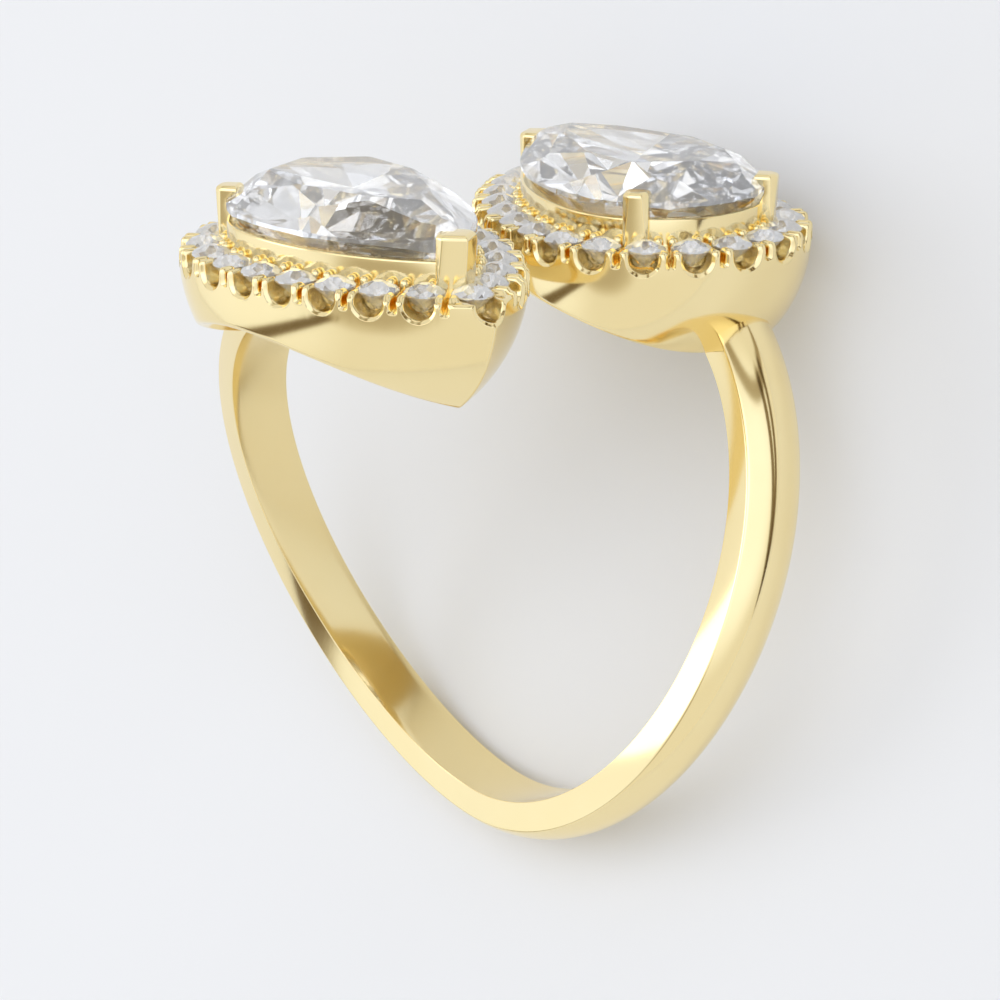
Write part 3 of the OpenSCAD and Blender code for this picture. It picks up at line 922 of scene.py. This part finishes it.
def studio_world(s):
    """White studio walls with two dark strips that show in the gold, plain where the camera sees them"""
    world = bpy.data.worlds.get("studio") or bpy.data.worlds.new("studio")
    world.use_nodes = True
    nodes, links = world.node_tree.nodes, world.node_tree.links
    direction = nodes.new("ShaderNodeTexCoord").outputs["Generated"]

    def towards(vector):
        dot = nodes.new("ShaderNodeVectorMath")
        dot.operation = "DOT_PRODUCT"
        dot.inputs[1].default_value = Vector(vector).normalized()
        links.new(direction, dot.inputs[0])
        return dot.outputs["Value"]

    def math_node(operation, first, second):
        node = nodes.new("ShaderNodeMath")
        node.operation = operation
        for socket, value in zip(node.inputs, (first, second)):
            if isinstance(value, float):
                socket.default_value = value
            else:
                links.new(value, socket)
        return node.outputs["Value"]

    def step(value, start, stop, low, high):
        node = nodes.new("ShaderNodeMapRange")
        node.interpolation_type = "SMOOTHSTEP"
        links.new(value, node.inputs["Value"])
        for key, number in (("From Min", start), ("From Max", stop), ("To Min", low), ("To Max", high)):
            node.inputs[key].default_value = number
        return node.outputs["Result"]

    def strip(axis, half, middle, reach, dark):
        """1 off the strip, 1 - dark on it: a band square to an axis, within a reach of one direction"""
        soft = 0.03
        across = step(math_node("ABSOLUTE", towards(axis), 0.0), half, half + soft, dark, 0.0)
        along = step(towards(middle), reach - soft, reach + soft, 0.0, 1.0)
        return math_node("SUBTRACT", 1.0, math_node("MULTIPLY", across, along))

    upright = lay_matrix(s) @ np.array([0.0, 0.0, 1.0])
    ring = math_node("ABSOLUTE", math_node("SUBTRACT", towards(upright), 0.883), 0.0)
    shades = [strip(*values) for values in DARK_STRIPS] + [
        step(towards((0.34, -0.545, 0.766)), 0.9, 0.985, 1.0, 0.6),
        step(ring, 0.02, 0.04, 0.4, 1.0),
    ]
    level = math_node("ADD", step(towards((-0.38, -0.82, 0.42)), 0.75, 1.0, 0.0, 0.22), 1.0)
    level = math_node("ADD", step(towards((0.41, 0.41, 0.82)), 0.6, 0.95, 0.0, 0.35), level)
    for shade in shades:
        level = math_node("MULTIPLY", level, shade)
    # dark cards that only light through the stones meets, so that their facets differ
    light_path = nodes.new("ShaderNodeLightPath")
    waves = [
        math_node("SINE", math_node("MULTIPLY", towards(axis), CARD_WAVES), 0.0) for axis in CARD_AXES
    ]
    cards = step(math_node("MULTIPLY", *waves), 0.2, 0.45, CARD_BRIGHT, CARD_DARK)
    power = math_node("ADD", math_node("MULTIPLY", light_path.outputs["Is Transmission Ray"], cards), 1.0)
    # the darker a strip is, the warmer, and the brightest walls are the coolest
    tint = nodes.new("ShaderNodeCombineColor")
    for channel, exponent in (("Red", 1.0), ("Green", 1.2), ("Blue", 1.6)):
        links.new(math_node("POWER", level, exponent), tint.inputs[channel])
    shown = nodes.new("ShaderNodeMix")
    shown.data_type = "RGBA"
    links.new(light_path.outputs["Is Camera Ray"], shown.inputs["Factor"])
    links.new(tint.outputs["Color"], shown.inputs["A"])
    shown.inputs["B"].default_value = (1, 1, 1, 1)
    links.new(shown.outputs["Result"], nodes["Background"].inputs["Color"])
    links.new(math_node("MULTIPLY", power, WALL_LIGHT), nodes["Background"].inputs["Strength"])
    return world


def build_stage(s, finish):
    mesh = bpy.data.meshes.new("floor")
    bm = bmesh.new()
    bmesh.ops.create_grid(bm, x_segments=8, y_segments=8, size=1.5)
    bm.to_mesh(mesh)
    bm.free()
    floor = bpy.data.objects.new("floor", mesh)
    bpy.context.scene.collection.objects.link(floor)
    mesh.materials.append(floor_finish(finish))
    camera = add_camera(s)
    bpy.context.scene.world = studio_world(s)
    bpy.context.scene.view_settings.view_transform = "Standard"
    tracer = bpy.context.scene.cycles
    tracer.max_bounces, tracer.glossy_bounces, tracer.transmission_bounces = 16, 12, 16
    middle = Vector((0.0, 0.0, 0.008))
    add_soft_light("overhead", middle + Vector((0.0, 0.0, 0.5)), middle, 0.5, 0.3)
    add_soft_light("key", middle + Vector((-0.35, -0.25, 0.4)), middle, 0.3, 0.3)
    return floor, camera


# Operators

class RING_OT_band(bpy.types.Operator):
    """Build the domed band that crosses over itself"""

    bl_idname = "ring.band"
    bl_label = "Band"

    def execute(self, context):
        build_band(all_sizes(context), polished_gold(context.scene.ring_finish))
        return {"FINISHED"}


class RING_OT_settings(bpy.types.Operator):
    """Build the two cups with their collars, decks, seats and windows"""

    bl_idname = "ring.settings"
    bl_label = "Settings"

    def execute(self, context):
        build_settings(all_sizes(context), polished_gold(context.scene.ring_finish))
        return {"FINISHED"}


class RING_OT_prongs(bpy.types.Operator):
    """Build the prongs of both main stones"""

    bl_idname = "ring.prongs"
    bl_label = "Prongs"

    def execute(self, context):
        build_prongs(all_sizes(context), polished_gold(context.scene.ring_finish))
        return {"FINISHED"}


class RING_OT_main_stones(bpy.types.Operator):
    """Cut the two pear-shaped diamonds"""

    bl_idname = "ring.main_stones"
    bl_label = "Main stones"

    def execute(self, context):
        build_main_stones(all_sizes(context), cut_diamond("pear_diamond", (1.0, 1.0, 1.0), 0.0, 0.12, 0.93))
        return {"FINISHED"}


class RING_OT_small_stones(bpy.types.Operator):
    """Cut the small round diamonds of both halos"""

    bl_idname = "ring.small_stones"
    bl_label = "Small stones"

    def execute(self, context):
        build_small_stones(all_sizes(context), cut_diamond("small_diamond", (1.0, 1.0, 1.0), 0.01, 0.25, 0.68))
        return {"FINISHED"}


class RING_OT_stage(bpy.types.Operator):
    """Set the floor, the soft lights and the camera"""

    bl_idname = "ring.stage"
    bl_label = "Stage"

    def execute(self, context):
        build_stage(all_sizes(context), context.scene.ring_finish)
        return {"FINISHED"}


class RING_PT_pieces(bpy.types.Panel):
    """Lists the ring's pieces in the sidebar"""

    bl_idname = "RING_PT_pieces"
    bl_label = "Toi et Moi Ring"
    bl_space_type = "VIEW_3D"
    bl_region_type = "UI"
    bl_category = "Ring"

    def draw(self, context):
        layout = self.layout
        for operator in OPERATORS:
            layout.operator(operator.bl_idname)
        for group in (context.scene.ring_band, context.scene.ring_setting, context.scene.ring_stones,
                      context.scene.ring_finish):
            box = layout.box()
            for key in group.bl_rna.properties.keys():
                if key not in ("rna_type", "name"):
                    box.prop(group, key)


GROUPS = {
    "ring_band": RingBandSizes, "ring_setting": RingSettingSizes,
    "ring_stones": RingStoneSizes, "ring_finish": RingFinish,
}
OPERATORS = (
    RING_OT_stage, RING_OT_band, RING_OT_settings, RING_OT_prongs, RING_OT_main_stones, RING_OT_small_stones,
)


def register():
    for group in GROUPS.values():
        bpy.utils.register_class(group)
    for key, group in GROUPS.items():
        setattr(bpy.types.Scene, key, PointerProperty(type=group))
    for operator in OPERATORS:
        bpy.utils.register_class(operator)
    bpy.utils.register_class(RING_PT_pieces)


def unregister():
    bpy.utils.unregister_class(RING_PT_pieces)
    for operator in reversed(OPERATORS):
        bpy.utils.unregister_class(operator)
    for key, group in reversed(GROUPS.items()):
        delattr(bpy.types.Scene, key)
        bpy.utils.unregister_class(group)


def main():
    register()
    bpy.ops.ring.stage()
    bpy.ops.ring.band()
    bpy.ops.ring.settings()
    bpy.ops.ring.prongs()
    bpy.ops.ring.main_stones()
    bpy.ops.ring.small_stones()


if __name__ == "__main__":
    main()
